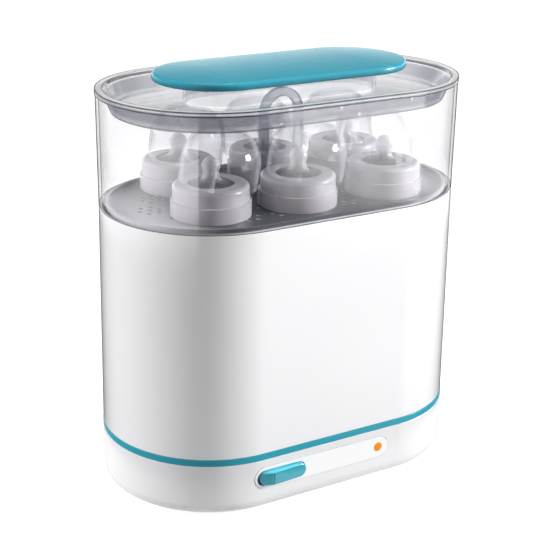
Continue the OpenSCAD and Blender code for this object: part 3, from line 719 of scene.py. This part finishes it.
large = basket("large_wall", 84.6, 87.7, 86.5, BAND_TOP, SEAM_Z, 0.5)
fit(large, "large_basket", "large_basket", white_shell)
small = basket("small_wall", 83.8, 86.5, 87.0, SEAM_Z, RIM_Z, 0.4)
fit(small, "small_basket", "small_basket", clear_wall)

# %% [markdown]
# The plate's arched handle is a strap. It could be a bevelled curve, but its section is a plain
# rectangle: one face is extruded up the left leg, spun over the top and extruded down the right leg. A
# peg under each leg sits in the plate.

# %% Arched handle
LEG_X, ARCH_Z = 15.75, 298.05
LEG = ARCH_Z - PLATE_TOP
STRAP_X, STRAP_Y = 7, 6
PEG_R, PEG_L = 2.4, 2.4

pick_none()
bpy.ops.mesh.primitive_plane_add(size=1)
arch = named("arch")
bpy.ops.object.mode_set(mode="EDIT")
bpy.ops.transform.resize(value=(STRAP_X * MM, STRAP_Y * MM, 1))
bpy.ops.transform.translate(value=(-LEG_X * MM, 0, PLATE_TOP * MM))
bpy.ops.mesh.extrude_region_move(TRANSFORM_OT_translate={"value": (0, 0, LEG * MM)})
bpy.ops.mesh.spin(steps=28, angle=pi, center=(0, 0, ARCH_Z * MM), axis=(0, -1, 0))
bpy.ops.mesh.extrude_region_move(TRANSFORM_OT_translate={"value": (0, 0, -LEG * MM)})
weld()
round_edges(arch, 1.0, segments=3, angle=60)
join(arch, [rod("peg", PEG_R, PLATE_TOP - PEG_L, PLATE_TOP + 0.5, x) for x in (-LEG_X, LEG_X)])
fit(arch, "plate_handle", "plate", clear_arch)

# %% [markdown]
# ## Bottle tops
# A top is a screw ring, a soft teat and a dome cap. All three are round and hollow. They could be built
# from stock cylinders, but a section shows the steps of the ring and the waist of the teat better, so
# each is turned once.

# %% Patterns of ring and teat
grip = [(27, 0), (31, 0), (31, 12.5), (29.5, 12.5)]
mouth = [(18, 25), (18, 22.5), (27, 22.5), (27, 0)]
ring = turn_round("ring", grip + arc(26, 21.5, 3.5, 0, 90) + mouth)
round_edges(ring, 0.45)
collar = [(12.5, 20.7), (26.4, 20.7), (26.4, 22.5), (17.7, 22.5), (17.7, 24.5)]
neck = arc(14.35, 33.0, 8.5, 270, 180, 10) + [(6.1, 34.6), (6.6, 36.2)]
tip = arc(0, 38, 7, 0, 90, 10) + arc(0, 38, 5.2, 90, 0, 10)
hollow = [(4.4, 35), (4.05, 33)] + arc(14.35, 33.0, 10.3, 180, 258, 8)
teat = turn_round("teat", collar + neck + tip + hollow)
round_edges(teat, 0.3, segments=2, angle=40)
print("ring and teat:", [len(pattern.data.polygons) for pattern in (ring, teat)], "faces")

# %% [markdown]
# The cap is a thin clear shell. Half a squashed sphere on a cylinder could be thickened by Solidify. A
# section takes no longer and gives the flat crown exactly: the dome is drawn as part of an ellipse,
# outside and again inside its wall.

# %% Pattern of the cap
CAP_R, CAP_WALL, CAP_H = 30, 1.4, 41
DOME_Z, DOME_H = 18, 28.3
DOME_END = asin((CAP_H - DOME_Z) / DOME_H)


def dome(inset, steps=14):
    turns = [DOME_END * i / steps for i in range(steps + 1)]
    return [((CAP_R - inset) * cos(t), DOME_Z + (DOME_H - inset) * sin(t)) for t in turns]


outside = [(CAP_R, 0)] + dome(0) + [(0, CAP_H)]
inside = [(CAP_R - CAP_WALL, 0)] + dome(CAP_WALL)[:-1] + [(0, CAP_H - CAP_WALL)]
cap = turn_round("cap", inside[:1] + outside + inside[::-1])
round_edges(cap, 0.5, segments=3, angle=30)
print("cap:", len(cap.data.polygons), "faces")

# %% [markdown]
# Six tops stand on the plate, three in front and three behind. The caps have slipped and lean on their
# rings, so a cap is tilted about its rim, turned to its lean and lowered until it rests where its CAD
# node does.

# %% Six tops
TOPS = [(-79.4, -29.6), (-5.7, -35.6), (74.6, -36.7), (-67.5, 47), (12.2, 45.1), (85.5, 37.5)]
LEANS = [-29, -29, 151, -29, 151, 151]
CAP_SHIFT, CAP_TILT = 5.0, radians(8.0)

for i, (x, y) in enumerate(TOPS):
    number = str(i + 1)
    spot = (x, y, PLATE_TOP)
    fit(copy_of(ring, "ring_" + number, spot), "screw_ring_" + number, "plate", lilac_ring)
    fit(copy_of(teat, "soft_teat_" + number, spot), "teat_" + number, "plate", soft_teat)
    node = "dome_cap_" + number
    made = copy_of(cap, "cap_" + number, (0, 0, 0))
    pick(made)
    lean = radians(LEANS[i])
    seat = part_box(node)[0].z / MM + CAP_R * sin(CAP_TILT)
    made.rotation_euler = (0, CAP_TILT, lean)
    made.location = Vector((x + CAP_SHIFT * cos(lean), y + CAP_SHIFT * sin(lean), seat)) * MM
    bpy.ops.object.transform_apply()
    fit(made, node, "plate", clear_cap)
for pattern in (ring, teat, cap):
    bpy.data.objects.remove(pattern)

# %% [markdown]
# ## Lid
# The lid is the hardest moulding: a flange, a slanted skirt, a sloping floor and a hollow pedestal for
# the handle. No single sweep can give it, because the pedestal's oval is shorter. So tray and pedestal
# are carried round two ovals and joined by a Boolean, after a hole is cut where the pedestal's hollow
# passes through the floor.

# %% Lid tray and pedestal
PEDESTAL_RUN, POST_TOP, POST_FOOT = 113.2, 329.5, 309.9
LID_R, FLAT_R, SKIN = 87.5, 18, 2.2
RIM_IN_R, GUTTER = 81.29, (74.15, 308.31)
HOLE_LOW, HOLE_HIGH = 300, 318

below = [(0, DISH_Z - SKIN), (FLAT_R, DISH_Z - SKIN), (SKIRT_R, SKIRT_Z), (FLANGE_R, RIM_Z)]
flange = [(LID_R, RIM_Z), (LID_R, LID_TOP)]
above = [(RIM_IN_R, LID_TOP), GUTTER, (FLAT_R, DISH_Z), (0, DISH_Z)]
tray = sweep_oval("tray", below + flange + above, RUN)
hole_r = POST_R - SKIN / 2
hole = [(0, HOLE_LOW), (hole_r, HOLE_LOW), (hole_r, HOLE_HIGH), (0, HOLE_HIGH)]
cut(tray, sweep_oval("hole", hole, PEDESTAL_RUN))
outside = [(0, POST_TOP), (POST_R, POST_TOP), (POST_R, POST_FOOT)]
inside = [(POST_R - SKIN, POST_FOOT), (POST_R - SKIN, POST_TOP - SKIN), (0, POST_TOP - SKIN)]
cut(tray, sweep_oval("pedestal", outside + inside, PEDESTAL_RUN), "UNION")
print("lid:", len(tray.data.polygons), "faces before its stake holes and ribs")

# %% [markdown]
# Four holes in the pedestal's top take the stakes of the handle. Ten small ribs centre the skirt in the
# basket. An array along a curve could set them, but ten places are soon listed: each is a block that is
# joined to the skirt.

# %% Stake holes and ribs
STAKE_R = 3
STAKES = [(x, y) for x in (-56.6, 56.6) for y in (-19.3, 19.3)]
for x, y in STAKES:
    cut(tray, rod("stake_hole", STAKE_R + 0.05, 325, 331, x, y))
round_edges(tray, 0.5, segments=2, angle=28)

RIB_R, RIB_Z = 82.05, 318.25
RIBS = [(x, turn) for x in (-RUN / 2, 0, RUN / 2) for turn in (-90, 90)]
RIBS += [(RUN / 2, -45), (RUN / 2, 45), (-RUN / 2, 135), (-RUN / 2, -135)]
for x, turn in RIBS:
    place = (x + RIB_R * cos(radians(turn)), RIB_R * sin(radians(turn)), RIB_Z)
    cut(tray, block("rib", (4.5, 2, 4.5), place, turn), "UNION")
fit(tray, "lid_shell", "lid", clear_lid)

# %% [markdown]
# The handle is a broad oval with a crowned top, a thin side and a recess below. A flat top with a bevel
# would mirror as one sheet, so its section has the crown as a shallow parabola. Its stakes are joined
# below.

# %% Handle
HANDLE_RUN, HANDLE_R, EDGE_R, CHAMFER = 121.2, 47.6, 2.5, 0.75
HUB_R, RECESS_R = 30.5, 44.6
CROWN_R, CROWN_Z, CROWN_H = HANDLE_R - EDGE_R, 335.5, 1.6

crown = [(CROWN_R * s, CROWN_Z + CROWN_H * (1 - s * s)) for s in (0.9, 0.75, 0.6, 0.45, 0.3, 0.15, 0)]
foot = [(0, POST_TOP), (HUB_R, POST_TOP)]
recess = [(HUB_R, POST_TOP + SKIN), (RECESS_R, POST_TOP + SKIN)]
side = [(RECESS_R, POST_TOP), (HANDLE_R - CHAMFER, POST_TOP), (HANDLE_R, POST_TOP + CHAMFER)]
side += arc(CROWN_R, CROWN_Z - EDGE_R, EDGE_R, 0, 80, 6)
handle = sweep_oval("handle", foot + recess + side + crown, HANDLE_RUN)
round_edges(handle, 0.4, segments=2, angle=40)
join(handle, [rod("stake", STAKE_R, POST_TOP - SKIN, POST_TOP + 0.5, x, y) for x, y in STAKES])
fit(handle, "lid_handle", "lid", teal_handle)

# %% [markdown]
# ## Nodes that stay
# The pieces inside and underneath are right as the CAD model has them. They could be modelled again with
# round edges, but hardly any of that would be seen, so they only get their finishes. The plate's many
# holes stay as they are too.

# %% Finishes of the kept nodes
KEPT = {
    white_base: ["bottom_cover"],
    white_shell: ["bottle_grid"],
    grey_plate: ["basket_plate"],
    black_rubber: ["rubber_feet", "cord_gland", "heater_seal"],
    steel: ["cover_screws", "heater_plate", "heating_element", "heater_clamp", "clamp_screws", "thermostat",
            "lever_pin"],
    pale_ceramic: ["thermal_fuse", "terminal_block"],
    dark_case: ["switch_block"],
    lamp_glass: ["indicator_lamp"],
}
for finish, nodes in KEPT.items():
    for node in nodes:
        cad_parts[node].data.materials.clear()
        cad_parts[node].data.materials.append(finish)
print("kept nodes:", sum(len(nodes) for nodes in KEPT.values()))

# %% [markdown]
# ## Studio
# The floor is white to the eye and still takes the shadow. A studio would set dark and white cards round
# the object. Here the floor plays them, for reflections alone: a wide belt round the object is dark,
# which draws the dark edges, and a bright field on the left and another one on the right lay their sheen
# on the clear wall.

# %% Floor
def light_path(start, kind):
    return start.add("ShaderNodeLightPath", out="Is %s Ray" % kind)


def towards(x, y, turn):
    """Distance in a direction, given as its turn from +X in degrees."""
    return x * cos(radians(turn)) + y * sin(radians(turn))


pick_none()
bpy.ops.mesh.primitive_plane_add(size=8)
floor = named("floor")
pale, start, place = new_finish("pale_floor")
x, y = axes(place, "XY")
reach = (x * x + y * y).sum("SQRT")
beyond = towards(x, y, 31.8) + 0.087
right_limit = 1 - (towards(x, y, 52.68) + 0.023).between(-0.03, 0.03)
left_limit = (towards(x, y, 139.99) - 0.040).between(-0.015, 0.015)
right_field = (beyond.between(-0.015, 0.015) * right_limit * (reach - 0.76).at_least(0.0)
               * (beyond * 140 + 6.5))
left_field = (left_limit * (1 - y.between(0.1, 0.5)) * (reach - 0.78).at_least(0.0)
              * (1 - reach.between(1.12, 1.28)) * 9)
print("floor:", len(pale.node_tree.nodes), "nodes for its two fields")

# %% [markdown]
# Farther off, at the back and on the left, the floor is plain in reflections, apart from a dark sector
# straight behind the object. Close round the object it is light, which the rounded foot mirrors. To the
# eye, a white card would turn grey where the lamps are weak, so a matt grey has a glow that adds up to
# white where no shadow falls.

# %% Light on the floor
VIEW_TURN = -31.42
across, ahead = towards(x, y, VIEW_TURN), towards(x, y, VIEW_TURN + 90)
open_back = (across.sum("ABSOLUTE") - 0.15 - ahead * 0.4).between(0.0, 0.1) * reach.between(0.72, 0.85)
plain = open_back * (1 - right_limit * (1 - left_limit)) * 0.85
close = (1 - oval_distance(place, RUN)[0].between(130, 160)) * 0.9
close_right = beyond.between(0.0, 0.2) * right_limit * (1 - reach.between(0.35, 0.5)) * 0.8
mirrored = (right_field + left_field + plain + close + close_right).at_most(3.2)

WHITE = (1, 1, 1, 1)
matt = start.add("ShaderNodeBsdfDiffuse", None, {"Color": (0.5, 0.5, 0.5, 1)})
glow = 0.86 * light_path(start, "Camera")
to_eye = start.add("ShaderNodeEmission", None, {"Color": WHITE, "Strength": glow})
to_mirror = start.add("ShaderNodeEmission", None, {"Color": WHITE, "Strength": mirrored})
lit = start.add("ShaderNodeAddShader", None, {0: matt, 1: to_eye})
set_surface(start, light_path(start, "Glossy").blend(lit, to_mirror))
floor.data.materials.append(pale)
print("floor:", len(pale.node_tree.nodes), "nodes in all")

# %% [markdown]
# The world is white to the eye and lights all sides alike. A picture of a studio could give the
# reflections. Here a few sums of the ray's direction do: bright low at the back, dark above that and
# lighter overhead, which grades the handle from its rear to its front, and a plain light grey on the
# camera's side.

# %% World
world = bpy.data.worlds.new("studio")
bpy.context.scene.world = world
world.use_nodes = True
world.node_tree.nodes.clear()
sky = Wire(world.node_tree)
x, y, z = axes(sky.add("ShaderNodeTexCoord", out="Generated"), "XYZ")
horizon = (2.3 - z * 8.4).at_least(0.1) + 0.6 * z.between(0.4, 0.7)
front = towards(x, y, VIEW_TURN - 90).between(-0.5, 0.5)
mirrored = horizon + front * (0.9 - horizon)
light = sky.add("ShaderNodeBackground", None, {
    "Color": WHITE,
    "Strength": 0.5 + 0.5 * light_path(sky, "Camera") + (mirrored - 0.5) * light_path(sky, "Glossy"),
})
sky.add("ShaderNodeOutputWorld", None, {"Surface": light})
print("world:", len(world.node_tree.nodes), "nodes")

# %% [markdown]
# A gridded softbox on the right lights the front, a tall one on the left lights the round end, and a
# broad one above lights the lid. Sun or point lamps could do it with harder shadows. Area lamps are soft,
# and a narrow spread acts as the grid. They are weak, because the world already lights every side, and
# the left one is kept out of reflections.

# %% Softboxes
def softbox(name, place, aim, width, height, power, spread, mirrored=True):
    pick_none()
    bpy.ops.object.light_add(type="AREA", location=place)
    lamp = bpy.context.object
    lamp.name = lamp.data.name = name
    lamp.data.shape = "RECTANGLE"
    lamp.data.size, lamp.data.size_y = width, height
    lamp.data.energy = power
    lamp.data.spread = radians(spread)
    lamp.visible_glossy = mirrored
    lamp.rotation_euler = (Vector(aim) - Vector(place)).to_track_quat("-Z", "Y").to_euler()
    print(name, power, "W")


softbox("right_box", (1.31, -0.81, 0.55), (-0.25, -0.09, 0.20), 0.34, 0.34, power=2.1, spread=40)
softbox("left_box", (-1.32, 0.82, 0.5), (-0.06, 0, 0.16), 0.3, 0.8, power=4.2, spread=80, mirrored=False)
softbox("top_box", (0.1, 0.1, 1.3), (0, 0, 0.3), 0.9, 0.7, power=2, spread=120)

# %% [markdown]
# The camera stands where the ovals of the rims look as in the photograph: that fixes its turn, its height
# and its distance. A Track To constraint could aim it, but not roll it. So it stands off in one direction
# from the point that it aims at, and is rolled by about a degree.

# %% Camera
AZIMUTH, ELEVATION, ROLL, DISTANCE = radians(VIEW_TURN), radians(20.04), radians(0.95), 1.1149
AIM = Vector((-0.0034, 0, 0.1607))
back = Vector((sin(AZIMUTH) * cos(ELEVATION), -cos(AZIMUTH) * cos(ELEVATION), sin(ELEVATION)))
pick_none()
bpy.ops.object.camera_add(location=AIM + DISTANCE * back)
camera = bpy.context.object
camera.rotation_euler = ((-back).to_track_quat("-Z", "Y") @ Quaternion((0, 0, 1), ROLL)).to_euler()
camera.data.lens, camera.data.sensor_width = 88.68, 36
bpy.context.scene.camera = camera
print("camera at", [round(c, 3) for c in camera.location])

# %% [markdown]
# ## Finish
# The Standard view keeps a written colour as it is.

# %% Finish
scene = bpy.context.scene
scene.view_settings.view_transform = "Standard"
scene.cycles.transparent_max_bounces = 32
